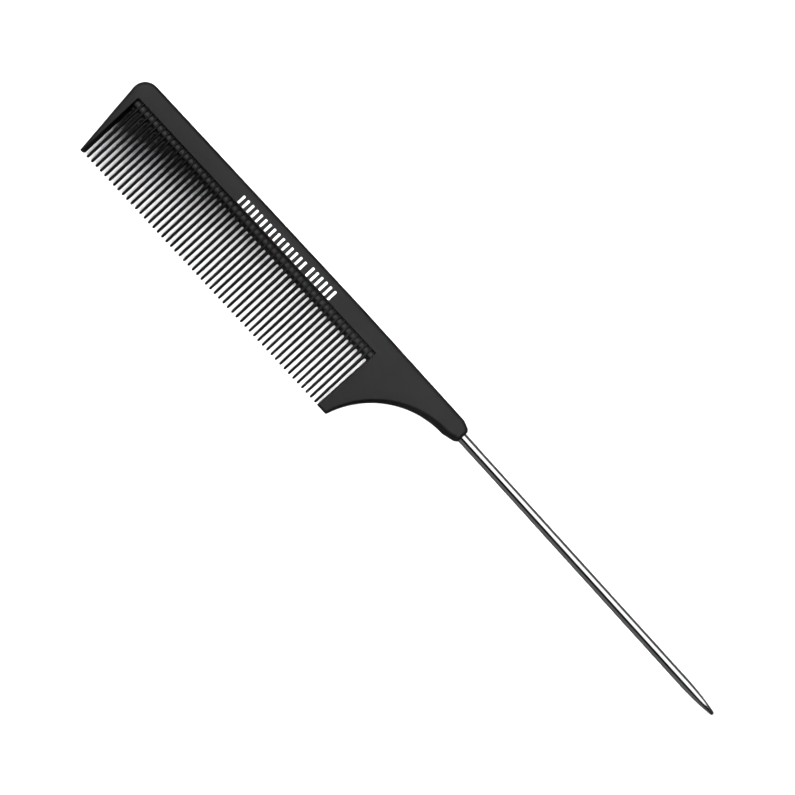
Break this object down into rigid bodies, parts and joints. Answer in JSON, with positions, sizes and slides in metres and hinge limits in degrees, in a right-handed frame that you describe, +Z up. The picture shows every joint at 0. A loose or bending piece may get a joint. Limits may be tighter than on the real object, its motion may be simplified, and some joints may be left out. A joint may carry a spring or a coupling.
{
  "type": "rat tail comb",
  "caption": "Rat tail comb: a black moulded comb with fine teeth, an end guard and a curved finger rest, and a long steel pin tail for parting hair.",
  "frame": {"origin": "middle of the bottom of the whole comb, lying flat on its face", "axes": "+X along the comb to the tip of the pin, +Y from the tooth tips to the back of the spine, +Z up through the thickness"},
  "size_m": [0.2324, 0.027, 0.0048],
  "materials": {
    "comb_resin": "satin carbon-filled resin",
    "pin_steel": "polished stainless steel",
    "white_ink": "pad-printed ink"
  },
  "bodies": {
    "root": {"spine": "comb_resin", "fine_teeth": "comb_resin", "end_guard": "comb_resin", "heel_and_neck": "comb_resin", "tail_pin": "pin_steel", "index_marks": "white_ink"}
  },
  "joints": []
}
